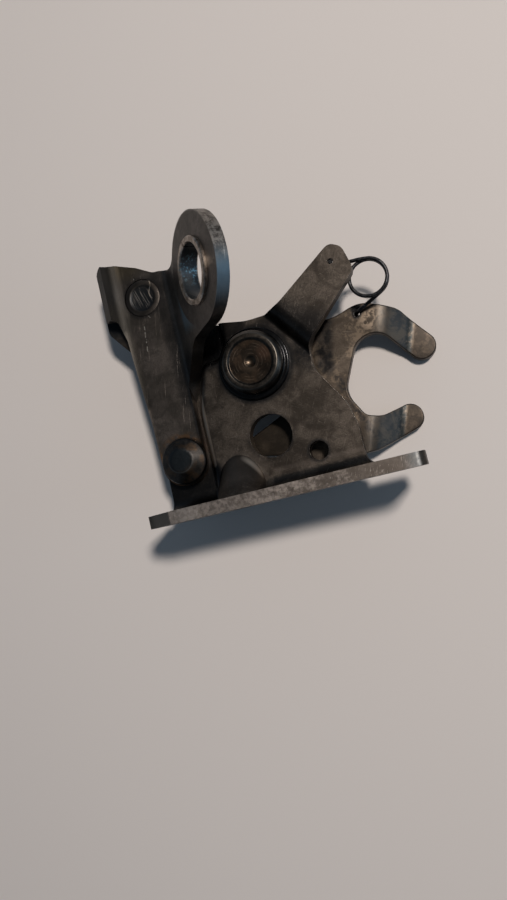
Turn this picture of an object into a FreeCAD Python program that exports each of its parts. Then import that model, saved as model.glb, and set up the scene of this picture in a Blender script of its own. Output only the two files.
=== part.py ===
import FreeCAD, Part
import math
import os

# Reverse shift holder. Millimetres, +Z up.
# The origin is the centre of the two flange bolts on the mounting face, which is the plane y = 0.
# The web of the holder stands on the flange along +Y, and its front faces +Z.

V = FreeCAD.Vector

sheet = 3.5
sheet_bend = 4.0
running_gap = 0.3
blank_reach = 90.0

web_front = -10.0
flange_front = 8.0
flange_left = -38.7
flange_right = 36.8
flange_corner_length = 7.8
flange_corner_depth = 5.0
flange_corner_radius = 2.5
bolt_spacing = 58.0
bolt_hole_radius = 3.3
web_left = -37.0
web_right = 21.3
notch_radius = 3.0
notch_bend_angle = 20.0

sight_hole = (-3.0, 18.0)
sight_hole_radius = 6.15
small_hole = (9.2, 10.7)
small_hole_radius = 2.7

spring_arm_bearing = 36.07
spring_arm_joggle_start = 32.8
spring_arm_joggle_run = 2.6
spring_arm_bend = 1.2
spring_hole = (24.85, 59.46)
spring_hole_radius = 0.8

recess_edge = -22.2
recess_turn = 30.0
recess_corner = (-18.5, 43.4)
recess_right = -11.0
recess_overlap = 3.0
back_arm_left = -45.6
back_arm_foot = 60.6
back_arm_top = 75.0
recess_round = 2.0

dart_centre = -14.3
dart_radius = 7.0
dart_top = 15.0

pivot = (-2.9, 38.9)
pin_shoulder_radius = 6.0
pin_journal_radius = 4.5
pin_running_clearance = 0.05
pin_end_clearance = 0.05
pin_rim_radius = 10.3
pin_rim_height = 1.2
pin_head_radius = 8.85
pin_head_height = 5.0
pin_head_chamfer = 1.1
pin_dish_radius = 6.1
pin_dish_depth = 0.6
pin_dimple_radius = 1.5
pin_tail_radius = 5.9
pin_tail_height = 1.8

washer_radius = 8.0
washer_thickness = 1.5
washer_gap = 0.1

fork_sheet = 3.4
fork_bearing = -18.42
fork_joggle_start = 18.96
fork_joggle_run = 7.7
fork_joggle_drop = 5.0
fork_bend = 4.0
fork_hook = (27.6, 46.1)
fork_hook_radius = 0.9
fork_edge_round = 0.4

arm_rivet = (-29.5, 17.0)
arm_head_rivet = (-31.4, 67.3)
arm_foot = 10.1
arm_top = 79.3
ear_fold = -23.0
ear_angle = 50.0
ear_bend = 3.0
ring_reach = 20.7
ring_height = 64.2
ring_radius = 15.3
ring_rise = 0.4
neck_top = 73.6
neck_foot = 33.0
lug_fold = -38.7
lug_angle = 48.0
lug_bend = 6.0
lug_end = 3.9
lug_edge = -44.3
lug_foot = 62.9

bush_outer_radius = 9.15
bush_inner_radius = 7.35
bush_proud = 1.0
bush_chamfer = 0.3
bush_split = 0.4
bush_split_bearing = 97.0

lower_head_radius = 6.7
lower_head_height = 3.0
lower_head_flat = 3.4
lower_shank_radius = 4.0
upper_rivet_radius = 5.6
upper_rivet_depth = 1.2
rivet_tail_radius = 5.2
rivet_tail_height = 1.6

wire_radius = 0.52
wire_gap = 0.2
coil_centre = (33.36, 53.42)
coil_radius = 5.16
coil_pitch = 1.1
coil_start = 84.0
coil_turn = 514.0
hook_bend = 1.3


def corner_edges(corners, z):
    """Lines and arcs of a closed outline whose corners are (x, y) or (x, y, radius)."""
    starts = []
    ends = []
    arcs = []
    count = len(corners)
    for i in range(count):
        here = V(corners[i][0], corners[i][1], z)
        before = V(corners[i - 1][0], corners[i - 1][1], z)
        after = V(corners[(i + 1) % count][0], corners[(i + 1) % count][1], z)
        radius = corners[i][2] if len(corners[i]) > 2 else 0.0
        back = (before - here).normalize()
        forward = (after - here).normalize()
        if radius == 0.0:
            starts.append(here)
            ends.append(here)
            arcs.append(None)
            continue
        half = 0.5 * back.getAngle(forward)
        reach = radius / math.tan(half)
        middle = (back + forward).normalize()
        first = here + back * reach
        last = here + forward * reach
        crown = here + middle * (radius / math.sin(half) - radius)
        starts.append(first)
        ends.append(last)
        arcs.append(Part.Arc(first, crown, last).toShape())
    edges = []
    for i in range(count):
        if arcs[i] is not None:
            edges.append(arcs[i])
        following = starts[(i + 1) % count]
        if (following - ends[i]).Length > 1e-6:
            edges.append(Part.makeLine(ends[i], following))
    return edges


def prism(corners, low, high):
    """Upright solid with the given outline between two levels."""
    face = Part.Face(Part.Wire(corner_edges(corners, low)))
    return face.extrude(V(0, 0, high - low))


def sheet_section(front, thickness, bend):
    """Section of a bent sheet with the same inner radius at each bend."""
    return folded_section(front, thickness, [bend] * (len(front) - 2))


def folded_section(front, thickness, bends):
    """Section of a bent sheet whose front face runs through the points, its back one thickness below."""
    last = len(front) - 1
    points = [V(a, b, 0) for a, b in front]
    runs = [(points[i + 1] - points[i]).normalize() for i in range(last)]
    downs = [V(run.y, -run.x, 0) for run in runs]
    face = [(points[0].x, points[0].y)]
    back = [points[0] + downs[0] * thickness]
    rounds = [0.0]
    for i in range(1, last):
        turn = runs[i - 1].cross(runs[i]).z
        bend = bends[i - 1]
        face.append((points[i].x, points[i].y, bend if turn > 0 else bend + thickness))
        shift = (downs[i - 1] + downs[i]) * (thickness / (1 + downs[i - 1].dot(downs[i])))
        back.append(points[i] + shift)
        rounds.append(bend + thickness if turn > 0 else bend)
    face.append((points[last].x, points[last].y))
    back.append(points[last] + downs[-1] * thickness)
    rounds.append(0.0)
    under = [(p.x, p.y, r) for p, r in zip(back, rounds)]
    return face + under[::-1]


def sweep_section(corners, along, start, length):
    """Extrude a section whose first axis is the level direction and whose second axis is +Z."""
    across = V(along.y * -1, along.x, 0)
    face = Part.Face(Part.Wire(corner_edges(corners, 0.0)))
    face.Placement = FreeCAD.Placement(start, FreeCAD.Rotation(across, V(0, 0, 1), along, "XYZ"))
    return face.extrude(along * length)


def across_bearing(bearing):
    """Level unit direction at an angle from +X."""
    return V(math.cos(math.radians(bearing)), math.sin(math.radians(bearing)), 0)


def joggled_sheet(bearing, front, thickness, bend, half_width):
    """Wide sheet bent along lines square to the bearing."""
    across = across_bearing(bearing)
    along = V(across.y, -across.x, 0)
    return sweep_section(sheet_section(front, thickness, bend), along, along * -half_width, 2 * half_width)


def disc(centre, radius, low, high):
    return Part.makeCylinder(radius, high - low, V(centre[0], centre[1], low))


def drill(centre, radius):
    """Upright cylinder that goes right through web, arm and fork."""
    return disc(centre, radius, web_front - blank_reach, web_front + blank_reach)


def turned(centre, profile):
    """Solid of revolution about the upright axis through a centre, from (radius, z) corners."""
    edges = corner_edges(profile, 0.0)
    face = Part.Face(Part.Wire(edges))
    face.rotate(V(0, 0, 0), V(1, 0, 0), 90)
    face.translate(V(centre[0], centre[1], 0))
    return face.revolve(V(centre[0], centre[1], 0), V(0, 0, 1), 360)


def web_sheet():
    """Web and spring arm: one level sheet that steps forward by its own thickness at the arm."""
    raised = web_front + sheet
    step_end = spring_arm_joggle_start + spring_arm_joggle_run
    front = [(-blank_reach, web_front), (spring_arm_joggle_start, web_front)]
    front += [(step_end, raised), (blank_reach, raised)]
    blank = joggled_sheet(spring_arm_bearing, front, sheet, spring_arm_bend, blank_reach)
    corners = [
        (recess_edge, sheet + sheet_bend),
        (web_right, sheet + sheet_bend),
        (web_right, 14.5, 8),
        (19.8, 21.6, 10),
        (13.0, 33.2, 7),
        (13.1, 39.2, 4),
        (30.4, 55.7, 3),
        (28.6, 62.6, 3),
        (25.4, 64.4, 2.5),
        (6.5, 51.5, 12),
        (-2.5, 51.4, 14),
        (recess_right, 53.3),
        (recess_right, recess_corner[1], 4),
        (*recess_corner, 2.5),
        (recess_edge, recess_turn, 20),
    ]
    web = blank.common(prism(corners, web_front - blank_reach, web_front + blank_reach))
    rim = [e for e in web.Edges if level_at(e, web_front) and e.BoundBox.XMax < recess_right + 0.01]
    return web.makeFillet(recess_round, rim)


def level_at(edge, height):
    """True for an edge that lies level at the given height."""
    return abs(edge.BoundBox.ZMin - height) < 1e-4 and abs(edge.BoundBox.ZMax - height) < 1e-4


def recess_sheet():
    """Stepped-back left side of the web, with the arm that reaches behind the guide arm."""
    front = web_front - sheet
    inner_edge = recess_edge + recess_overlap
    inner_right = recess_right + recess_overlap
    corners = [
        (web_left, sheet + sheet_bend),
        (inner_edge, sheet + sheet_bend),
        (inner_edge, recess_turn, 20),
        (recess_corner[0] + recess_overlap, recess_corner[1] - recess_overlap, 2),
        (inner_right, recess_corner[1] - recess_overlap, 5),
        (inner_right, 52.5),
        (recess_right, 53.3),
        (-19.5, 56.5, 4),
        (-22.5, 71.5, 3),
        (-38.5, back_arm_top, 5),
        (back_arm_left, back_arm_top - 5, 5),
        (back_arm_left, back_arm_foot, 4),
        (web_left + 0.4, 49.0, 4),
    ]
    slab = prism(corners, front - sheet, front)
    rim = [e for e in slab.Edges if level_at(e, front - sheet) and on_web_side(e, inner_edge)]
    return slab.makeFillet(recess_round, rim)


def on_web_side(edge, inner_edge):
    """True for the outline's edges between the foot of the recess and its upper right end."""
    box = edge.BoundBox
    return box.XMin > inner_edge - 0.01 and box.YMax > sheet + sheet_bend + 0.01 and box.YMax < 52.6


def flange_section(level, angle):
    """Section of flange and bend, level being the front of the web above it."""
    centre_y = sheet + sheet_bend
    centre_z = level + sheet_bend
    outer = sheet + sheet_bend
    radians = math.radians(angle)
    half = 0.5 * radians
    inner_end = V(centre_y - sheet_bend * math.cos(radians), centre_z - sheet_bend * math.sin(radians), 0)
    inner_mid = V(centre_y - sheet_bend * math.cos(half), centre_z - sheet_bend * math.sin(half), 0)
    outer_end = V(centre_y - outer * math.cos(radians), centre_z - outer * math.sin(radians), 0)
    outer_mid = V(centre_y - outer * math.cos(half), centre_z - outer * math.sin(half), 0)
    inner_start = V(sheet, centre_z, 0)
    outer_start = V(0, centre_z, 0)
    near_inner = V(sheet, flange_front, 0)
    near_outer = V(0, flange_front, 0)
    edges = [
        Part.makeLine(near_outer, near_inner),
        Part.makeLine(near_inner, inner_start),
        Part.Arc(inner_start, inner_mid, inner_end).toShape(),
        Part.makeLine(inner_end, outer_end),
        Part.Arc(outer_end, outer_mid, outer_start).toShape(),
        Part.makeLine(outer_start, near_outer),
    ]
    return Part.Face(Part.Wire(edges))


def flange_part(level, angle, left, right):
    """Flange and bend over a stretch of its length."""
    face = flange_section(level, angle)
    face.Placement = FreeCAD.Placement(V(left, 0, 0), FreeCAD.Rotation(V(0, 1, 0), V(0, 0, 1), V(1, 0, 0), "XYZ"))
    return face.extrude(V(right - left, 0, 0))


def flange():
    notch_x = web_right + notch_radius
    free_top = sheet + sheet_bend * (1 - math.cos(math.radians(notch_bend_angle)))
    end_part = flange_part(web_front - sheet, notch_bend_angle, flange_left, web_left)
    recess_part = flange_part(web_front - sheet, 90, web_left, recess_edge + recess_overlap)
    web_part = flange_part(web_front, 90, recess_edge, notch_x)
    free_part = flange_part(web_front, notch_bend_angle, notch_x - 1, flange_right)
    notch = disc((notch_x, free_top + notch_radius), notch_radius, web_front - 2 * sheet, flange_front)
    bar = end_part.fuse(recess_part).fuse(web_part.cut(notch)).fuse(free_part.cut(notch)).removeSplitter()
    for side in (-1, 1):
        cutter = Part.makeCylinder(bolt_hole_radius, 3 * sheet, V(side * bolt_spacing / 2, -sheet, 0), V(0, 1, 0))
        bar = bar.cut(cutter)
    return bar


def dart_bar(radius):
    """Cylinder lying at 45 degrees in the corner between web and flange."""
    drop = dart_radius / math.sqrt(2)
    direction = V(0, -1, 1).normalize()
    foot = V(dart_centre, dart_top - drop, web_front - drop)
    return Part.makeCylinder(radius, blank_reach, foot - direction * (blank_reach / 2), direction)


def holder_plate():
    body = flange().fuse(web_sheet()).fuse(recess_sheet())
    body = body.fuse(dart_bar(dart_radius).common(dart_space()))
    body = body.cut(dart_bar(dart_radius - sheet))
    body = body.cut(drill(pivot, pin_shoulder_radius))
    body = body.cut(drill(sight_hole, sight_hole_radius))
    body = body.cut(drill(small_hole, small_hole_radius))
    body = body.cut(drill(spring_hole, spring_hole_radius))
    body = body.cut(drill(arm_rivet, lower_shank_radius))
    body = body.cut(drill(arm_head_rivet, lower_shank_radius))
    body = body.removeSplitter()
    body = body.cut(left_corner())
    return body.makeFillet(flange_corner_radius, corner_edge(body, flange_right))


def left_corner():
    """Wedge that is cut away at the left front corner of the flange."""
    corners = [
        (flange_left + flange_corner_length, flange_front),
        (flange_left, flange_front - flange_corner_depth),
        (flange_left - 5, flange_front - flange_corner_depth),
        (flange_left - 5, flange_front + 5),
        (flange_left + flange_corner_length, flange_front + 5),
    ]
    wedge = prism(corners, -5, 10)
    wedge.rotate(V(0, 0, 0), V(1, 0, 0), 90)
    return wedge


def dart_space():
    """Space between the outer faces of web and flange, where the dart's metal can be."""
    foot = V(dart_centre - 2 * dart_radius, 0, web_front - sheet)
    return Part.makeBox(4 * dart_radius, 4 * dart_radius, flange_front - web_front + sheet, foot)


def corner_edge(body, x):
    """Front corner edge of the flange at one end."""
    found = []
    for edge in body.Edges:
        box = edge.BoundBox
        flat = abs(box.XMin - x) < 1e-3 and abs(box.XMax - x) < 1e-3
        if flat and abs(box.ZMin - flange_front) < 1e-3 and abs(box.ZMax - flange_front) < 1e-3:
            found.append(edge)
    return found


def guide_arm():
    """Web strip, ear and curled lug of one folded sheet."""
    ear_run = ear_along()
    lug_run = V(-math.cos(math.radians(lug_angle)), 0, math.sin(math.radians(lug_angle)))
    ear_tip = (ear_fold + blank_reach * ear_run.x, web_front + blank_reach * ear_run.z)
    lug_tip = (lug_fold + lug_end * lug_run.x, web_front + lug_end * lug_run.z)
    front = [lug_tip, (lug_fold, web_front), (ear_fold, web_front), ear_tip]
    section = folded_section(front, sheet, (lug_bend, ear_bend))
    folded = sweep_section(section, V(0, -1, 0), V(0, arm_top + sheet, 0), arm_top - arm_foot + 2 * sheet)
    strip = prism(strip_outline(), web_front - 2 * sheet, flange_front)
    arm = folded.common(strip.fuse(ear_prism()))
    arm = arm.cut(drill(arm_rivet, lower_shank_radius))
    arm = arm.cut(disc(arm_rivet, lower_head_radius, web_front, flange_front))
    arm = arm.cut(disc(arm_head_rivet, upper_rivet_radius, web_front - upper_rivet_depth, flange_front))
    arm = arm.cut(drill(arm_head_rivet, lower_shank_radius))
    return arm.cut(through_ear(bush_outer_radius, ring_centre())).removeSplitter()


def strip_outline():
    """Outline of web strip and lug, seen square to the web."""
    return [
        (-36.4, arm_foot, 6.3),
        (-23.6, arm_foot, 6.3),
        (-23.3, 38.0),
        (-24.3, 42.0),
        (-24.3, 73.5),
        (-26.6, 73.7, 3),
        (-31.5, 76.7, 6),
        (-37.8, arm_top, 4),
        (lug_edge, arm_top, 3),
        (lug_edge, lug_foot, 1),
        (-40.2, lug_foot, 2.5),
        (-38.6, 56.0, 3),
        (-38.1, 47.0, 30),
        (-36.9, 30.0, 30),
    ]


def ear_normal():
    """Direction in which the ear's left face looks."""
    return V(-math.sin(math.radians(ear_angle)), 0, math.cos(math.radians(ear_angle)))


def ear_along():
    return V(math.cos(math.radians(ear_angle)), 0, math.sin(math.radians(ear_angle)))


def ring_centre():
    return V(ear_fold, ring_height, web_front) + ear_along() * ring_reach


def through_ear(radius, centre):
    """Cylinder square to the ear, long enough to pass right through it."""
    return Part.makeCylinder(radius, 4 * sheet, centre - ear_normal() * (3 * sheet), ear_normal())


def ear_prism():
    """Solid through the ear, square to it: the ring and the neck that carries it."""
    corners = [
        (-6.0, neck_top),
        (-1.0, neck_top - 0.1, 1.5),
        (5.4, 71.2, 6),
        (11.5, 76.0),
        (ring_reach, ring_height),
        (ring_reach, ring_height + ring_rise - ring_radius),
        (10.0, 48.4, 8),
        (0.5, 39.1, 8),
        (-3.0, neck_foot),
        (-6.0, neck_foot),
    ]
    face = Part.Face(Part.Wire(corner_edges(corners, 0.0)))
    turn = FreeCAD.Rotation(ear_along(), V(0, 1, 0), ear_normal(), "XYZ")
    face.Placement = FreeCAD.Placement(V(ear_fold, 0, web_front) - ear_normal() * (3 * sheet), turn)
    neck = face.extrude(ear_normal() * (4 * sheet))
    return neck.fuse(through_ear(ring_radius, ring_centre() + V(0, ring_rise, 0)))


def guide_bush():
    """Rolled bush in the ear, with its butt joint left slightly open."""
    length = sheet + 2 * bush_proud
    foot = ring_centre() - ear_normal() * (sheet + bush_proud)
    tube = Part.makeCylinder(bush_outer_radius, length, foot, ear_normal())
    tube = tube.cut(Part.makeCylinder(bush_inner_radius, length, foot, ear_normal()))
    tube = tube.makeChamfer(bush_chamfer, [e for e in tube.Edges if e.Closed])
    gap = Part.makeBox(2 * bush_outer_radius, bush_split, 3 * length, V(0, -bush_split / 2, -length))
    gap.rotate(V(0, 0, 0), V(0, 0, 1), bush_split_bearing)
    turn = FreeCAD.Rotation(ear_along(), V(0, 1, 0), ear_normal(), "XYZ")
    gap.Placement = FreeCAD.Placement(foot, turn).multiply(gap.Placement)
    return tube.cut(gap)


def lower_rivet():
    low = web_front - 2 * sheet
    profile = [
        (0.0, low - rivet_tail_height),
        (rivet_tail_radius - 1.2, low - rivet_tail_height, 1.0),
        (rivet_tail_radius, low),
        (lower_shank_radius, low),
        (lower_shank_radius, web_front),
        (lower_head_radius, web_front),
        (lower_head_radius, web_front + 1.2, 0.7),
        (lower_head_flat, web_front + lower_head_height, 2.0),
        (0.0, web_front + lower_head_height),
    ]
    return turned(arm_rivet, profile)


def upper_rivet():
    low = web_front - 2 * sheet
    profile = [
        (0.0, low - rivet_tail_height),
        (rivet_tail_radius - 1.2, low - rivet_tail_height, 1.0),
        (rivet_tail_radius, low),
        (lower_shank_radius, low),
        (lower_shank_radius, web_front - upper_rivet_depth),
        (upper_rivet_radius, web_front - upper_rivet_depth),
        (upper_rivet_radius, web_front - 0.1, 0.4),
        (3.9, web_front + 0.15, 1.0),
        (3.4, web_front - 0.25, 0.3),
        (0.0, web_front - 0.25),
    ]
    return turned(arm_head_rivet, profile)


def fork_front():
    return web_front - 2 * sheet - running_gap


def washer_top():
    return fork_front() - fork_sheet - washer_gap


def pivot_pin():
    seat = web_front
    top = web_front + pin_head_height
    shoulder = fork_front() + pin_end_clearance
    tail = washer_top() - washer_thickness
    floor = top - pin_dish_depth
    profile = [
        (0.0, tail - pin_tail_height + 0.5),
        (1.2, tail - pin_tail_height, 0.4),
        (pin_tail_radius, tail - pin_tail_height, 1.2),
        (pin_tail_radius, tail),
        (pin_journal_radius, tail),
        (pin_journal_radius, shoulder),
        (pin_shoulder_radius, shoulder),
        (pin_shoulder_radius, seat),
        (pin_rim_radius, seat),
        (pin_rim_radius, seat + pin_rim_height, 0.5),
        (pin_head_radius, seat + pin_rim_height, 0.4),
        (pin_head_radius, top - pin_head_chamfer, 0.6),
        (pin_head_radius - pin_head_chamfer, top, 0.6),
        (pin_dish_radius + 0.5, top, 0.3),
        (pin_dish_radius, floor, 0.3),
        (pin_dimple_radius + 0.15, floor + 0.15, 0.15),
        (0.0, floor - 0.9),
    ]
    return turned(pivot, profile)


def pivot_washer():
    high = washer_top()
    ring = disc(pivot, washer_radius, high - washer_thickness, high)
    ring = ring.cut(disc(pivot, pin_journal_radius, high - washer_thickness, high))
    outer = [e for e in ring.Edges if e.Closed and e.BoundBox.XLength > 2 * washer_radius - 0.1]
    return ring.makeFillet(0.3, outer)


def reverse_fork():
    """C-shaped fork of thick sheet; both tips step back together along one pair of bend lines."""
    level = fork_front()
    step_end = fork_joggle_start + fork_joggle_run
    front = [(-blank_reach, level), (fork_joggle_start, level)]
    front += [(step_end, level - fork_joggle_drop), (blank_reach, level - fork_joggle_drop)]
    blank = joggled_sheet(fork_bearing, front, fork_sheet, fork_bend, blank_reach)
    corners = [
        (-14.4, 14.8, 2.0),
        (-3.7, 12.4, 14),
        (8.5, 7.5, 12),
        (24.0, 7.1, 14),
        (39.4, 11.74, 3.7),
        (37.47, 18.92, 3.7),
        (27.5, 16.3, 6),
        (23.3, 17.6, 3.4),
        (19.2, 25.3, 7),
        (26.0, 39.9, 6.4),
        (33.2, 39.2, 6),
        (42.2, 27.8, 3.7),
        (48.14, 32.48, 3.7),
        (38.9, 44.8, 6),
        (29.0, 49.3, 9),
        (21.0, 47.0, 12),
        (-12.9, 49.2, 9.5),
        (-12.9, 26.2, 8),
        (3.0, 32.7, 3.5),
        (5.7, 26.1, 3.5),
        (-14.0, 18.1, 1.6),
    ]
    fork = blank.common(prism(corners, level - blank_reach, level + sheet))
    fork = fork.makeFillet(fork_edge_round, sharp_edges(fork))
    fork = fork.cut(drill(pivot, pin_journal_radius + pin_running_clearance))
    return fork.cut(drill(fork_hook, fork_hook_radius))


def sharp_edges(shape):
    """Edges where two faces meet at more than half a right angle."""
    meetings = {}
    for face in shape.Faces:
        for edge in face.Edges:
            meetings.setdefault(edge.hashCode(), []).append((edge, face))
    found = []
    for meeting in meetings.values():
        edge = meeting[0][0]
        middle = edge.valueAt(0.5 * (edge.FirstParameter + edge.LastParameter))
        normals = [face.normalAt(*face.Surface.parameter(middle)) for _, face in meeting]
        if len(normals) == 2 and normals[0].getAngle(normals[1]) > math.pi / 4:
            found.append(edge)
    return found


def spring_points():
    """Centre line of the wire, from its end in the spring arm to its end in the fork."""
    upper = web_front - wire_radius - wire_gap
    lower = fork_front() + wire_radius + wire_gap
    coil = coil_points(upper)
    start = V(spring_hole[0], spring_hole[1], upper)
    toward = (coil[0] - start).normalize()
    points = [V(start.x, start.y, web_front + sheet - wire_radius)]
    points.append(start + V(0, 0, hook_bend))
    points.append(start + toward * (0.4 * hook_bend) + V(0, 0, 0.35 * hook_bend))
    points.append(start + toward * (1.2 * hook_bend))
    points.append(0.5 * (start + coil[0]))
    points += coil
    end = V(fork_hook[0], fork_hook[1], lower)
    away = (coil[-1] - end).normalize()
    points.append(0.5 * (coil[-1] + end))
    points.append(end + away * (1.2 * hook_bend))
    points.append(end + away * (0.4 * hook_bend) + V(0, 0, -0.35 * hook_bend))
    points.append(end + V(0, 0, -hook_bend))
    points.append(end + V(0, 0, -hook_bend - fork_sheet))
    return points


def coil_points(level):
    """Close-wound coil, falling from a level by its pitch at each turn."""
    points = []
    steps = 24
    for i in range(steps + 1):
        turned_by = coil_turn * i / steps
        arm = across_bearing(coil_start - turned_by) * coil_radius
        points.append(V(coil_centre[0], coil_centre[1], level - coil_pitch * turned_by / 360) + arm)
    return points


def return_spring():
    curve = Part.BSplineCurve()
    curve.interpolate(spring_points())
    path = Part.Wire(curve.toShape())
    start = curve.value(curve.FirstParameter)
    heading = curve.tangent(curve.FirstParameter)[0]
    ring = Part.Wire(Part.makeCircle(wire_radius, start, heading))
    return path.makePipeShell([ring], True, True)


def main():
    os.makedirs("parts", exist_ok=True)
    nodes = {
        "holder_plate": holder_plate(),
        "guide_arm": guide_arm(),
        "guide_bush": guide_bush(),
        "lower_rivet": lower_rivet(),
        "upper_rivet": upper_rivet(),
        "pivot_pin": pivot_pin(),
        "reverse_fork": reverse_fork(),
        "pivot_washer": pivot_washer(),
        "return_spring": return_spring(),
    }
    for name, shape in nodes.items():
        box = shape.BoundBox
        print(name, shape.ShapeType, len(shape.Solids), shape.isValid(), round(shape.Volume, 1))
        print("  ", [round(v, 2) for v in (box.XMin, box.YMin, box.ZMin, box.XMax, box.YMax, box.ZMax)])
        solid = shape.Solids[0] if len(shape.Solids) == 1 else shape
        solid.exportStep("parts/" + name + ".step")


main()
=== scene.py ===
from math import cos, radians, sin

import bpy
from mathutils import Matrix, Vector


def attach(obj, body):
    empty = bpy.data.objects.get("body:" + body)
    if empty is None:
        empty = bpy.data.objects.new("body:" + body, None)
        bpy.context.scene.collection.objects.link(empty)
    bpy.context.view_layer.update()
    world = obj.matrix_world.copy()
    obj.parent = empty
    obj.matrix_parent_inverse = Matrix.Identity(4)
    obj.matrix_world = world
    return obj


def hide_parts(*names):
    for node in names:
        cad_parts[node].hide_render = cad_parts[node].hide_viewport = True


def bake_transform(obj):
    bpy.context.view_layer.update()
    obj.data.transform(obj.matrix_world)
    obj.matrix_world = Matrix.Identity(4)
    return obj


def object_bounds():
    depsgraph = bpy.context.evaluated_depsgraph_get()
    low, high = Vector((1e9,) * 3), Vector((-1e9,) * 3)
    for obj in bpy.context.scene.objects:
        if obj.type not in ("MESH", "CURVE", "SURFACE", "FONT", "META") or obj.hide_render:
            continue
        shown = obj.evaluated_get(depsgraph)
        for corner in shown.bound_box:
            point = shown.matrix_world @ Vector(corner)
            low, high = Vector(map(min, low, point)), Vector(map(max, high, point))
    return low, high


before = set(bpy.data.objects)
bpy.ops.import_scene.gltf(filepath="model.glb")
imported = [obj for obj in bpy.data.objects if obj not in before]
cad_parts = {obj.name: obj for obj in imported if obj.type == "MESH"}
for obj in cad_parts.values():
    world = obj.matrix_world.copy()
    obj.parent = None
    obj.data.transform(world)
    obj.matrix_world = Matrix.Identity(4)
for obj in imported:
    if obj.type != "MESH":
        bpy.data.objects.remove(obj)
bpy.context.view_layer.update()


# Holder plate. The bracket itself: 3.5 mm steel sheet, blanked, pierced and pressed to shape in one
# piece, then oiled. The web is grey-brown and finely scratched, black oil and painted shade sit in its
# corners and hollows, painted highlights lie on the dart's ridge and the web's rolled rim, and the
# flange's near edge is worn bright.

mm = 0.001


class Finish:
    """A shader socket that Python's own signs work on, and the node tree it belongs to."""

    def __init__(self, tree, socket=None):
        self.tree = tree
        self.socket = socket

    def node(self, kind, settings=None, sockets=None, output=0):
        made = self.tree.nodes.new("ShaderNode" + kind)
        for name, value in (settings or {}).items():
            setattr(made, name, value)
        for name, value in (sockets or {}).items():
            if isinstance(value, Finish):
                self.tree.links.new(value.socket, made.inputs[name])
            else:
                made.inputs[name].default_value = value
        return Finish(self.tree, made.outputs[output])

    def maths(self, operation, first, second=0.0):
        return self.node("Math", {"operation": operation}, {0: first, 1: second})

    def __add__(self, other):
        return self.maths("ADD", self, other)

    def __radd__(self, other):
        return self.maths("ADD", other, self)

    def __sub__(self, other):
        return self.maths("SUBTRACT", self, other)

    def __rsub__(self, other):
        return self.maths("SUBTRACT", other, self)

    def __mul__(self, other):
        return self.maths("MULTIPLY", self, other)

    def __rmul__(self, other):
        return self.maths("MULTIPLY", other, self)

    def __abs__(self):
        return self.maths("ABSOLUTE", self)

    def most(self, other):
        return self.maths("MAXIMUM", self, other)

    def fade(self, full, none):
        """1 where the value is at full, 0 where it is at none, and smooth between."""
        settings = {"interpolation_type": "SMOOTHSTEP"}
        return self.node("MapRange", settings, {0: self, 1: full, 2: none, 3: 1.0, 4: 0.0})

    def mix(self, under, over):
        """Colour under where this value is 0, and colour over where it is 1."""
        under = (*under, 1) if isinstance(under, tuple) else under
        over = (*over, 1) if isinstance(over, tuple) else over
        return self.node("Mix", {"data_type": "RGBA"}, {0: self, 6: under, 7: over}, 2)


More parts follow.
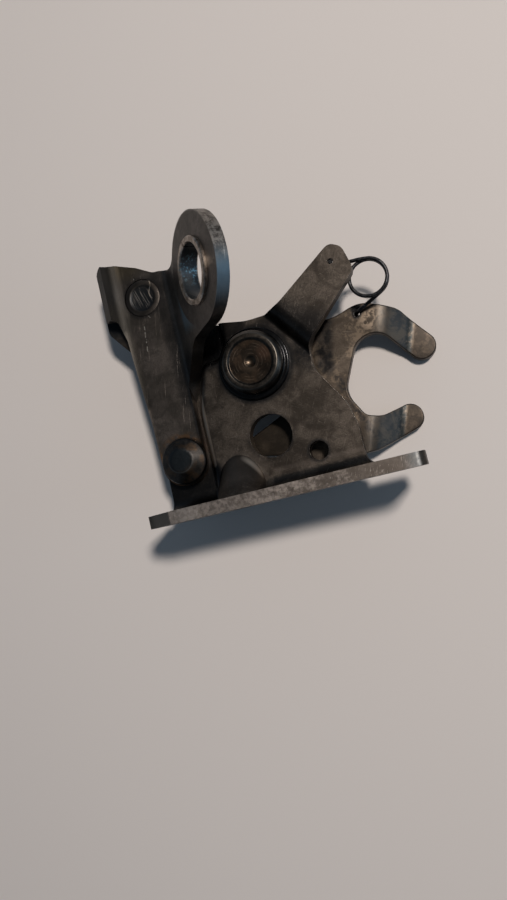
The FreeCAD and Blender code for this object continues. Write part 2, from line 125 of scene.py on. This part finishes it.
class Steel:
    """A steel finish that is built up in layers on the row's own coordinates, in millimetres."""

    def __init__(self, name, dark, bare, cloud_size=0.16):
        self.material = bpy.data.materials.new(name)
        self.material.use_nodes = True
        self.tree = self.material.node_tree
        self.paint = Finish(self.tree)
        place = self.paint.node("TexCoord", output=3)
        self.place = self.paint.node("VectorMath", {"operation": "SCALE"}, {0: place, 3: 1 / mm})
        self.cloud = self.noise(cloud_size, 5.0, 0.62, 0.4)
        self.grain = self.noise(2.4, 4.0, 0.7)
        self.rubbed_and_highlit = None
        self.wet = None
        self.colour = self.cloud.fade(0.62, 0.38).mix(dark, bare)
        self.colour = (self.grain.fade(0.40, 0.58) * 0.5).mix(self.colour, dark)

    def axis(self, index):
        return self.paint.node("SeparateXYZ", {}, {0: self.place}, index)

    def noise(self, scale, detail=4.0, roughness=0.55, distortion=0.0, place=None):
        sockets = {0: place or self.place, 2: scale, 3: detail, 4: roughness, 8: distortion}
        return self.paint.node("TexNoise", {}, sockets)

    def scratches(self, turn, length, width, seed, share=0.66):
        """Thin straight scratches at an angle to +X: a stretched noise, kept only where it peaks."""
        shift = (seed, 0.7 * seed, 0)
        moved = self.paint.node("VectorMath", {"operation": "ADD"}, {0: self.place, 1: shift})
        about_z = {"rotation_type": "Z_AXIS"}
        turned = self.paint.node("VectorRotate", about_z, {0: moved, 3: radians(-turn)})
        stretch = (1 / length, 1 / width, 0.4 / length)
        drawn = self.paint.node("VectorMath", {"operation": "MULTIPLY"}, {0: turned, 1: stretch})
        return self.noise(1.0, 2.0, 0.5, place=drawn).fade(share + 0.08, share)

    def near(self, point, full, none):
        """1 within one distance of a point, in millimetres, fading to 0 at the other."""
        away = self.paint.node("VectorMath", {"operation": "DISTANCE"}, {0: self.place, 1: point}, 1)
        return away.fade(full, none)

    def beside(self, start, end, full, none):
        """1 within one distance of the straight line between two points, fading to 0 at the other."""
        start = Vector(start)
        run = Vector(end) - start
        off = self.paint.node("VectorMath", {"operation": "SUBTRACT"}, {0: self.place, 1: start})
        along = {0: off, 1: run / run.length_squared}
        share = self.paint.node("VectorMath", {"operation": "DOT_PRODUCT"}, along, 1)
        share = self.paint.node("Clamp", {}, {0: share})
        step = self.paint.node("VectorMath", {"operation": "SCALE"}, {0: tuple(run), 3: share})
        away = self.paint.node("VectorMath", {"operation": "DISTANCE"}, {0: off, 1: step}, 1)
        return away.fade(full, none)

    def ring(self, middle, radius, width):
        """1 on a cylinder square to the web about a middle, fading to 0 at a width to either side."""
        flat = self.paint.node("VectorMath", {"operation": "MULTIPLY"}, {0: self.place, 1: (1, 1, 0)})
        away = self.paint.node("VectorMath", {"operation": "DISTANCE"}, {0: flat, 1: (*middle, 0)}, 1)
        return abs(away - radius).fade(0.0, width)

    def lay(self, where, colour, amount=1.0):
        self.colour = (where * amount).mix(self.colour, colour)

    def scratch(self, where, colour, amount=1.0):
        self.lay(where, colour, amount)
        self.rubbed_and_highlit = where * amount if self.rubbed_and_highlit is None else self.rubbed_and_highlit.most(where * amount)

    def oil_and_shade(self, where, amount=1.0):
        # The dark colour of old oil, also laid as painted shade in corners, hollows and under other
        # parts.
        self.lay(where, (0.024, 0.0245, 0.026), amount)
        self.wet = where * amount if self.wet is None else self.wet.most(where * amount)

    def done(self, roughness, depth):
        """Joins the layers to the metal shader; depth is that of the surface's bumps in millimetres."""
        shader = self.tree.nodes["Principled BSDF"]
        rough = roughness + 0.14 * (self.cloud - 0.5) + 0.2 * (self.grain - 0.5)
        height = self.cloud * 0.6 + self.grain * 0.25
        if self.rubbed_and_highlit is not None:
            rough = rough - 0.10 * self.rubbed_and_highlit
            height = height - 0.25 * self.rubbed_and_highlit
        if self.wet is not None:
            rough = rough - 0.16 * self.wet
        bump = self.paint.node("Bump", {}, {"Strength": 1.0, "Distance": depth * mm, "Height": height})
        shader.inputs["Metallic"].default_value = 1.0
        for name, value in (("Base Color", self.colour), ("Roughness", rough), ("Normal", bump)):
            self.tree.links.new(value.socket, shader.inputs[name])
        return self.material


def rolled(node, material, width=0.0, edge=None):
    """A merged copy of a CAD node, its edges rolled over by a width, which stands in for the node."""
    piece = bpy.data.objects.new(node.replace("_", "-"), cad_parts[node].data.copy())
    bpy.context.scene.collection.objects.link(piece)
    bpy.ops.object.select_all(action="DESELECT")
    bpy.context.view_layer.objects.active = piece
    piece.select_set(True)
    bpy.ops.mesh.customdata_custom_splitnormals_clear()
    bpy.ops.object.mode_set(mode="EDIT")
    bpy.ops.mesh.select_all(action="SELECT")
    bpy.ops.mesh.remove_doubles(threshold=0.002 * mm)
    bpy.ops.mesh.dissolve_limited(angle_limit=radians(0.5))
    bpy.ops.object.mode_set(mode="OBJECT")
    bpy.ops.object.shade_smooth_by_angle(angle=radians(32))
    piece.data.materials.clear()
    piece.data.materials.append(material)
    if width:
        bevel = piece.modifiers.new("rolled edge", "BEVEL")
        bevel.width = width * mm
        bevel.segments = 3
        bevel.limit_method = "ANGLE"
        bevel.angle_limit = radians(40)
        bevel.harden_normals = True
        if edge:
            piece.data.materials.append(edge)
            bevel.material = 1
    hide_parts(node)
    return piece


web_front = -10.0
flange_front = 8.0
axle = (-2.9, 38.9)
sight_hole = (-3.0, 18.0)
small_hole = (9.2, 10.7)
spring_arm_right = (30.2, 57.0)
spring_arm_tip = (28.2, 62.6)
web_waist = (13.1, 34.0)
web_shoulder = (19.8, 21.6)
web_foot = (21.3, 10.0)
scratched = (0.24, 0.21, 0.185)

plate = Steel("holder steel", (0.044, 0.037, 0.031), (0.098, 0.083, 0.070))
plate.scratch(plate.scratches(62, 4.5, 0.14, 3.0), scratched, 0.5)
plate.scratch(plate.scratches(-35, 2.6, 0.12, 17.0), scratched, 0.5)
plate.scratch(plate.scratches(8, 3.6, 0.12, 31.0), scratched, 0.45)
plate.lay(plate.near((-30.0, 24.0, web_front), 1.0, 6.0), (0.12, 0.075, 0.045), 0.4)
patchy = plate.noise(0.55, 5.0, 0.7).fade(0.62, 0.40)
grime = plate.noise(0.28, 6.0, 0.72, 0.6).fade(0.60, 0.46)
plate.lay(grime, (0.034, 0.029, 0.025), 0.45)

# The gusset dart, painted a little lighter, with a painted highlight along its ridge.
dart = plate.near((-14.0, 9.0, -8.0), 4.0, 9.0)
dart_ridge_highlight = plate.beside((-11.8, 14.5, -8.5), (-6.6, 7.8, -8.5), 0.3, 1.7)
plate.lay(dart, (0.115, 0.098, 0.085), 0.7)
plate.lay(dart_ridge_highlight, (0.66, 0.59, 0.51), 0.9)

# The bend between web and flange: a light line over a dark hollow of painted shade.
bend_line = plate.beside((-4.0, 8.2, web_front), (22.0, 8.2, web_front), 0.2, 1.1)
bend_hollow_shade = plate.beside((-4.0, 5.6, -9.4), (22.0, 5.6, -9.4), 0.4, 1.7)
plate.lay(bend_line, (0.20, 0.17, 0.15), 0.15)
plate.oil_and_shade(bend_hollow_shade, 0.45)

# The recess behind the guide arm: oil and painted shade at its foot, painted shade under the ear at its
# top and in the groove along the arm, and a painted highlight on the web's rolled rim beside it.
recess_foot = (-32.0, 7.0, -13.0)
recess_top = (-16.0, 48.0, -13.0)
plate.oil_and_shade(plate.near(recess_foot, 8.5, 13.0), 0.8)
plate.oil_and_shade(plate.beside((-21.5, 12.0, -11.0), (-20.0, 6.0, -9.0), 1.5, 4.0), 0.9)
# Painted shade under the ear.
plate.oil_and_shade(plate.near(recess_top, 6.0, 9.0), 0.95)
plate.oil_and_shade(plate.beside((-22.6, 12.0, -12.5), (-20.0, 43.0, -12.5), 1.0, 2.4), 0.6)
# Painted highlight on the web's rolled rim.
plate.lay(plate.beside((-21.2, 14.0, -10.4), (-21.0, 34.0, -10.4), 0.5, 1.1), (0.40, 0.32, 0.25), 0.8)

# Oil and painted shade round the pin and above it, oil to its right, painted shade in the bend at the
# foot of the spring arm, and dark rings round both holes. Painted shade makes the plate darkest where
# the lug covers it.
round_pin = plate.near((*axle, web_front), 10.5, 12.2)
above_pin = plate.near((-7.0, 49.0, web_front), 3.0, 7.0)
plate.oil_and_shade(round_pin.most(above_pin), 0.75)
# Painted shade in the bend at the spring arm's foot.
plate.oil_and_shade(plate.beside((5.5, 51.0, -8.0), (17.0, 42.5, -8.0), 1.5, 7.5), 0.6)
# Painted shade where the lug covers the plate.
plate.lay(plate.near((-42.0, 64.0, -17.0), 4.0, 9.0), (0.015, 0.018, 0.022), 0.9)
plate.oil_and_shade(plate.near((12.0, 38.0, web_front), 1.5, 7.5) * (0.45 + 0.55 * patchy), 0.85)
plate.oil_and_shade(plate.near((*sight_hole, web_front), 6.2, 7.4) * patchy, 0.6)
plate.oil_and_shade(plate.near((*small_hole, web_front), 2.8, 3.8), 0.6)

# The flange's near edge: sheared bright, brighter to the left, blotched, bluish at its right end.
edge_face = plate.axis(2).fade(flange_front - 0.05, flange_front - 0.4)
worn = edge_face * (plate.noise(0.9, 4.0, 0.6).fade(0.60, 0.38) * 0.55 + 0.45)
worn = worn * (plate.axis(0).fade(2.0, 22.0) * 0.45 + 0.55)
plate.lay(worn, (0.33, 0.29, 0.262))
blotch = edge_face * plate.noise(0.16, 4.0, 0.7).fade(0.54, 0.44) * plate.axis(0).fade(10.0, -2.0)
plate.lay(blotch, (0.075, 0.064, 0.056), 0.7)
stain = edge_face * plate.noise(0.35, 5.0, 0.7).fade(0.58, 0.46) * plate.axis(0).fade(4.0, -24.0)
plate.lay(stain, (0.085, 0.072, 0.062), 0.75)
plate.lay(edge_face * plate.axis(0).fade(36.0, 30.0), (0.17, 0.20, 0.22), 0.55)
shear_marks = edge_face * plate.scratches(72, 1.6, 0.16, 41.0, 0.62) * plate.noise(0.12).fade(0.54, 0.44)
plate.scratch(shear_marks, (0.55, 0.50, 0.45), 0.7)
plate.lay(edge_face * plate.near((-26.0, 2.0, flange_front), 1.5, 5.0), (0.55, 0.50, 0.46), 0.35)
cut_corner = plate.axis(0).fade(-30.9, -30.7)
plate.lay(edge_face.most(plate.axis(2).fade(5.0, 2.8)) * cut_corner, (0.13, 0.115, 0.10), 0.9)
plate_steel = plate.done(0.46, 0.09)

# The rolled edges: darkened with oil and painted shade in the recess, and rubbed bright with a painted
# highlight on the spring arm, down the web's right side and over the sight hole.
arris = Steel("holder arris", (0.10, 0.085, 0.072), (0.55, 0.49, 0.44), 0.9)
oily_and_shaded_ends = arris.near((-30.0, 4.0, -14.0), 8.0, 12.0).most(arris.near(recess_top, 7.0, 10.0))
arris.oil_and_shade(oily_and_shaded_ends, 0.9)
rubbed_and_highlit = arris.beside((*spring_arm_right, -6.5), (*spring_arm_tip, -6.5), 1.0, 2.0)
rubbed_and_highlit = rubbed_and_highlit.most(arris.beside((*web_waist, web_front), (*web_shoulder, web_front), 0.8, 1.6))
rubbed_and_highlit = rubbed_and_highlit.most(arris.beside((*web_shoulder, web_front), (*web_foot, web_front), 0.8, 1.6))
rubbed_and_highlit = rubbed_and_highlit.most(arris.ring(sight_hole, 6.2, 0.7) * arris.axis(1).fade(16.0, 19.0))
arris.lay(rubbed_and_highlit * arris.noise(1.2).fade(0.56, 0.42), (0.85, 0.79, 0.71), 0.9)
holder = rolled("holder_plate", plate_steel, 0.32, arris.done(0.34, 0.04))
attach(holder, "holder")


# Guide arm. A second piece of the same sheet, folded: a straight web that lies in the plate's
# recess, an ear turned up with a ring for the bush, and a short curled lug. It is riveted on.

foot_rivet = (-29.5, 17.0)
head_rivet = (-31.4, 67.3)
ear_ring = (-8.354, 64.2, 4.732)
ring_rise = 0.4
rubbed_arm = (0.24, 0.215, 0.195)

arm = Steel("guide arm steel", (0.080, 0.069, 0.060), (0.120, 0.103, 0.092), 0.12)
arm.scratch(arm.scratches(80, 12.0, 0.16, 5.0), rubbed_arm, 0.45)
arm.scratch(arm.scratches(60, 4.0, 0.14, 23.0), rubbed_arm, 0.4)

# The lug is dark. Grime lies over the whole arm, with a brown patch at its top and a heat stain
# round the lower rivet, and painted shade runs in two dark lines down its left side and the lug's bend.
arm.lay(arm.axis(0).fade(-37.6, -34.0) * arm.axis(1).fade(60.0, 52.0), (0.034, 0.032, 0.029), 0.9)
arm.lay(arm.noise(0.22, 6.0, 0.72, 0.6).fade(0.60, 0.44), (0.042, 0.039, 0.034), 0.5)
arm.lay(arm.near((-34.0, 79.0, -9.0), 2.0, 7.0), (0.085, 0.068, 0.042), 0.55)
heat = arm.near((*foot_rivet, web_front), 6.9, 9.2) * arm.noise(0.35).fade(0.55, 0.42)
arm.lay(heat, (0.15, 0.085, 0.045), 0.8)
arm.lay(arm.beside((-38.4, 62.0, -9.9), (-37.6, 36.0, -9.9), 0.8, 2.4), (0.022, 0.021, 0.019), 0.85)
arm.lay(arm.beside((-39.2, 80.0, -9.6), (-39.2, 60.0, -9.6), 0.9, 2.4), (0.013, 0.0125, 0.0115), 0.9)

# Oil round both rivets, painted shade along the ear's bend and in the corner under the ear, and oil on
# the lug.
arm.oil_and_shade(arm.ring(head_rivet, 5.7, 1.3), 0.35)
arm.oil_and_shade(arm.near((*foot_rivet, web_front), 6.5, 7.4), 0.7)
arm.oil_and_shade(arm.beside((-26.0, 72.0, -9.5), (-24.5, 34.0, -9.5), 0.8, 3.2), 0.45)
arm.oil_and_shade(arm.near((-19.0, 42.0, -8.0), 3.0, 8.0), 0.7)
arm.oil_and_shade(arm.near((-42.0, 70.0, -8.0), 1.0, 7.0), 0.35)

# Bright nicks above and below the head rivet.
nicks = [
    ((-32.8, 73.6), (-32.6, 71.4)),
    ((-31.4, 63.9), (-30.7, 62.7)),
    ((-31.2, 62.2), (-30.3, 61.0)),
    ((-32.7, 58.7), (-33.3, 51.4)),
]
for start, end in nicks:
    nick = arm.beside((*start, web_front), (*end, web_front), 0.06, 0.26)
    arm.scratch(nick * arm.noise(1.4, 2.0).fade(0.56, 0.46), (0.55, 0.51, 0.45), 0.8)

# The ring's outer rim: speckled at its top, with a painted bluish reflection down its right side.
ring_middle = (ear_ring[0], ear_ring[1] + ring_rise, ear_ring[2])
rim = (1.0 - arm.near(ring_middle, 15.0, 15.2)) * arm.axis(0).fade(-18.5, -20.0)
speckled = rim * arm.noise(0.6, 5.0, 0.75).fade(0.60, 0.40) * arm.axis(1).fade(66.0, 58.0)
arm.lay(speckled, (0.36, 0.33, 0.295), 0.8)
arm.lay(rim * arm.axis(1).fade(58.0, 68.0) * arm.axis(1).fade(56.0, 50.0), (0.15, 0.22, 0.27), 0.7)
arm_steel = arm.done(0.46, 0.08)

# The arm's rolled edges: a painted highlight along the web's right side and the ring, painted shade
# under the ear and down the arm's left side, and oil on the lug.
arm_arris = Steel("guide arm arris", (0.10, 0.085, 0.075), (0.50, 0.45, 0.41), 0.8)
arm_arris.oil_and_shade(arm_arris.near((-19.0, 44.0, -9.0), 6.0, 10.0), 0.9)
web_side_highlight = arm_arris.beside((-23.4, 13.0, -10.2), (-23.4, 40.0, -10.2), 0.6, 1.2)
arm_arris.lay(web_side_highlight, (0.80, 0.74, 0.66), 0.9)
ring_side_highlight = arm_arris.axis(0).fade(-7.0, -11.0) * arm_arris.axis(1).fade(58.0, 54.0)
arm_arris.lay(ring_side_highlight, (0.62, 0.58, 0.52), 0.7)
arm_arris.oil_and_shade(arm_arris.near((-43.0, 72.0, -7.0), 7.0, 12.0), 0.8)
arm_arris.oil_and_shade(arm_arris.beside((-38.6, 58.0, -10.2), (-36.4, 14.0, -10.2), 1.0, 2.0), 0.7)
guide = rolled("guide_arm", arm_steel, 0.45, arm_arris.done(0.36, 0.04))
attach(guide, "holder")


# Guide bush. Rolled from bright strip with an open butt joint and pressed into the ring, where
# the shift rail slides through it. Its bore is darkened with painted shade, with a speckled painted blue
# reflection in it.

bush = Steel("bush steel", (0.20, 0.165, 0.135), (0.46, 0.40, 0.35), 0.5)
# Painted shade in the bore.
bush.lay(bush.near(ear_ring, 7.62, 7.9), (0.060, 0.068, 0.074), 0.92)
speckle = bush.noise(1.1, 4.0, 0.7).fade(0.60, 0.52)
# Painted blue reflection, speckled.
bush.lay(bush.near((-12.0, 68.0, -1.0), 2.0, 6.0) * speckle, (0.22, 0.36, 0.42), 0.8)
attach(rolled("guide_bush", bush.done(0.36, 0.05)), "holder")


# Lower rivet. A steel button head that was set hot over the foot of the guide arm: brown at its
# rim, with a dark blue-grey flat where the tool pressed it, painted shade on its right side and a
# painted highlight in a crescent at the flat's lower edge.

foot = Steel("lower rivet steel", (0.024, 0.0225, 0.0215), (0.046, 0.042, 0.039), 0.5)
foot.lay(foot.noise(0.30).fade(0.62, 0.50), (0.075, 0.048, 0.030), 0.6)
# Painted shade on the head's right side.
foot.lay(foot.near((-26.0, 16.0, -8.4), 0.5, 4.0), (0.018, 0.0175, 0.017), 0.8)
foot.lay(foot.near((-30.0, 17.5, -7.0), 2.6, 4.2), (0.028, 0.035, 0.040), 0.9)
highlight_crescent = foot.ring((-29.9, 17.5), 3.7, 0.35) * foot.axis(1).fade(16.6, 17.6)
foot.lay(highlight_crescent, (0.10, 0.105, 0.105), 0.5)
foot.oil_and_shade(foot.ring(foot_rivet, 6.7, 0.7), 0.8)
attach(rolled("lower_rivet", foot.done(0.44, 0.08)), "holder")


# Upper rivet. Hammered flush into the arm at its head, so only a faint ring and a dark scarred
# centre with bright diagonal cuts tell it from the sheet.

head = Steel("upper rivet steel", (0.050, 0.044, 0.039), (0.085, 0.074, 0.066), 0.3)
head.lay(head.near((-31.9, 67.0, web_front), 3.2, 4.5), (0.022, 0.026, 0.030), 0.85)
cuts = head.scratches(-72, 7.0, 0.34, 12.0, 0.56) * head.near((*head_rivet, web_front), 2.6, 4.0)
head.scratch(cuts, (0.30, 0.27, 0.24), 0.8)
burr = head.ring((-29.9, 70.8), 1.9, 0.24) * head.near((-28.6, 71.8, web_front), 1.6, 2.4)
burr = burr.most(head.ring((-26.4, 68.0), 2.6, 0.24) * head.near((-28.8, 68.3, web_front), 1.6, 2.2))
head.scratch(burr, (0.75, 0.62, 0.50), 0.9)
# Painted shade dulls the ring where the head's profile catches the light.
head.lay(head.ring(head_rivet, 4.4, 1.0), (0.034, 0.031, 0.028), 0.75)
head.oil_and_shade(head.ring(head_rivet, 5.5, 0.6), 0.2)
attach(rolled("upper_rivet", head.done(0.45, 0.08)), "holder")


# Pivot pin. Turned from bar with a stepped, dished head and a shoulder that carries the fork clear
# of the web. Its tail is riveted over a washer. The dish has a coppery bloom, a painted highlight by its
# dimple, and painted shade on the right of the head's lower rim.

def pin_steel(name):
    pin = Steel(name, (0.030, 0.027, 0.024), (0.066, 0.058, 0.050), 0.4)
    dish = pin.near((*axle, -5.0), 5.8, 6.4)
    bloom = dish * pin.noise(0.30, 4.0, 0.65, 0.8).fade(0.62, 0.42)
    pin.lay(dish, (0.034, 0.026, 0.020), 0.9)
    pin.lay(bloom, (0.095, 0.064, 0.043), 0.55)
    # Painted highlight by the dimple.
    pin.lay(pin.near((-3.5, 38.0, -5.6), 0.5, 3.0), (0.17, 0.13, 0.095), 0.35)
    pin.lay(pin.near((1.6, 40.4, -5.6), 0.5, 3.4) * dish, (0.105, 0.060, 0.042), 0.55)
    for radius in (2.3, 3.4, 4.3, 5.1):
        pin.lay(pin.ring(axle, radius, 0.16) * pin.noise(0.35).fade(0.55, 0.45), (0.22, 0.17, 0.13), 0.4)
    pin.lay(pin.ring(axle, 7.9, 0.5) * pin.axis(2).fade(-5.6, -6.4), (0.13, 0.12, 0.105), 0.5)
    flange_right_shade = pin.near((6.4, 40.8, -8.6), 1.0, 6.0) * pin.axis(2).fade(-8.7, -8.2)
    pin.lay(flange_right_shade, (0.012, 0.012, 0.013), 0.9)
    pin.oil_and_shade(pin.axis(2).fade(-8.8, -7.4) * pin.axis(2).fade(-20.0, -22.0), 0.85)
    return pin.done(0.36, 0.05)


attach(rolled("pivot_pin", pin_steel("pin steel")), "holder")


# Pivot washer. A plain steel washer under the pin's riveted tail, behind the fork, of the same oily
# turned steel as the pin.

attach(rolled("pivot_washer", pin_steel("washer steel")), "holder")


# Reverse fork. Thick hardened sheet behind the web, swinging on the pin. Its C-shaped jaw ends in
# two tips stepped away from the web, with a painted bluish reflection on the slopes and rubbed brown on
# the pads.

fork_front = -17.3
fork_bearing = radians(-18.42)

fork = Steel("fork steel", (0.044, 0.036, 0.029), (0.082, 0.067, 0.054), 0.15)
fork.scratch(fork.scratches(-20, 6.0, 0.18, 9.0), (0.26, 0.23, 0.20), 0.4)
fork.lay(fork.noise(0.22, 4.0, 0.7).fade(0.60, 0.50), (0.150, 0.118, 0.088), 0.5)
tan_patch = fork.near((31.0, 43.5, fork_front), 1.5, 4.5) * fork.noise(0.6).fade(0.55, 0.42)
fork.lay(tan_patch, (0.26, 0.205, 0.155), 0.7)

# Reach is the distance along the jaw: the step runs from 19 to 26.7 mm, the pads lie beyond it.
across_bends = (cos(fork_bearing), sin(fork_bearing), 0)
reach = fork.paint.node("VectorMath", {"operation": "DOT_PRODUCT"}, {0: fork.place, 1: across_bends}, 1)
slope = abs(reach - 22.6)
pads = reach.fade(28.4, 27.0)
# Painted bluish reflection on the slopes.
fork.lay(slope.fade(3.4, 5.4), (0.072, 0.078, 0.082), 0.6)
slope_patch = slope.fade(4.0, 5.4) * fork.noise(0.28, 5.0, 0.72, 0.5).fade(0.60, 0.44)
fork.lay(slope_patch, (0.14, 0.115, 0.090), 0.7)
# Oil and painted shade on the fork behind the sight hole.
fork.lay(fork.near((*sight_hole, fork_front), 7.0, 9.5), (0.034, 0.028, 0.022), 0.85)
# Blotches of painted shade at the step's foot.
step_foot_shade = abs(reach - 26.4).fade(0.3, 1.4) * fork.noise(0.9, 4.0, 0.7).fade(0.52, 0.40)
fork.lay(step_foot_shade, (0.030, 0.036, 0.038), 0.85)
fork.lay(pads, (0.036, 0.031, 0.027), 0.8)
fork.lay(pads * fork.noise(0.45, 4.0, 0.7).fade(0.60, 0.46), (0.085, 0.068, 0.054), 0.5)
# Painted shade over the bend where the step begins.
fork.lay(abs(reach - 18.6).fade(0.8, 3.2), (0.050, 0.045, 0.040), 0.7)

# Oil and painted shade under the spring arm and along the web's edge, and oil at the spring's hook.
under_arm = fork.beside((18.0, 47.0, fork_front), (15.5, 34.0, fork_front), 1.2, 3.6)
fork.oil_and_shade(under_arm * (0.5 + 0.5 * fork.noise(0.4).fade(0.58, 0.42)), 0.85)
fork.oil_and_shade(fork.beside((27.6, 46.1, fork_front), (27.9, 50.5, fork_front), 0.9, 1.9), 0.95)
under_web = fork.beside((18.0, 30.0, fork_front), (24.0, 12.0, fork_front), 0.5, 1.6)
fork.oil_and_shade(under_web * fork.noise(0.7).fade(0.55, 0.42), 0.6)
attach(rolled("reverse_fork", fork.done(0.44, 0.08)), "fork")


# Return spring. Wound from 1 mm spring wire, one end hooked into the spring arm and the other into
# the fork, which it pushes back to rest.

upper_end = (24.85, 59.46, -6.5)

wire = Steel("spring steel", (0.022, 0.022, 0.024), (0.065, 0.066, 0.070), 0.8)
wire.oil_and_shade(wire.near(upper_end, 1.2, 2.4), 0.9)
spring = rolled("return_spring", wire.done(0.34, 0.03))
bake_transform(spring)


# Floor, lamps and camera. The part lies just over a plain pale table, under a warm lamp at the upper
# right and a cooler, weaker window at the right; the room itself is dim and bluish.

floor_gap = 0.2 * mm
half = 1.5
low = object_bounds()[0]
level = low[2] - floor_gap
floor_mesh = bpy.data.meshes.new("table")
corners = [(-half, -half, level), (half, -half, level), (half, half, level), (-half, half, level)]
floor_mesh.from_pydata(corners, [], [(0, 1, 2, 3)])
table = bpy.data.objects.new("table", floor_mesh)
bpy.context.scene.collection.objects.link(table)
paper = bpy.data.materials.new("paper")
paper.use_nodes = True
paper_shader = paper.node_tree.nodes["Principled BSDF"]
paper_shader.inputs["Base Color"].default_value = (0.62, 0.585, 0.565, 1)
paper_shader.inputs["Roughness"].default_value = 0.9
floor_mesh.materials.append(paper)

world = bpy.data.worlds.new("room")
world.use_nodes = True
room = Finish(world.node_tree)
upward = room.node("SeparateXYZ", {}, {0: room.node("TexCoord", output=0)}, 2)
sky = upward.fade(0.9, 0.0).mix((0.17, 0.23, 0.30), (0.048, 0.060, 0.074))
world.node_tree.links.new(sky.socket, world.node_tree.nodes["Background"].inputs[0])
bpy.context.scene.world = world


def lamp(name, azimuth, elevation, distance, size, power, colour):
    """A square lamp that looks at the middle of the part from a given direction."""
    aim = Vector((0.0, 0.035, -0.01))
    flat = cos(radians(elevation))
    away = Vector((flat * cos(radians(azimuth)), flat * sin(radians(azimuth)), sin(radians(elevation))))
    data = bpy.data.lights.new(name, "AREA")
    data.size = size
    data.energy = power
    data.color = colour
    made = bpy.data.objects.new(name, data)
    made.location = aim + away * distance
    made.rotation_euler = away.to_track_quat("Z", "Y").to_euler()
    bpy.context.scene.collection.objects.link(made)


lamp("key", 30, 63, 0.9, 0.10, 6.9, (1.0, 0.915, 0.84))
lamp("window", -12, 16, 0.8, 0.30, 0.45, (0.60, 0.80, 1.0))

camera_data = bpy.data.cameras.new("camera")
camera_data.lens = 28
camera_data.clip_start = 0.01
camera = bpy.data.objects.new("camera", camera_data)
camera.location = (0.03947, -0.00179, 0.18043)
camera.rotation_euler = (radians(1.5), radians(15.0), radians(-13.64))
bpy.context.scene.collection.objects.link(camera)
bpy.context.scene.camera = camera
bpy.context.scene.view_settings.view_transform = "Standard"
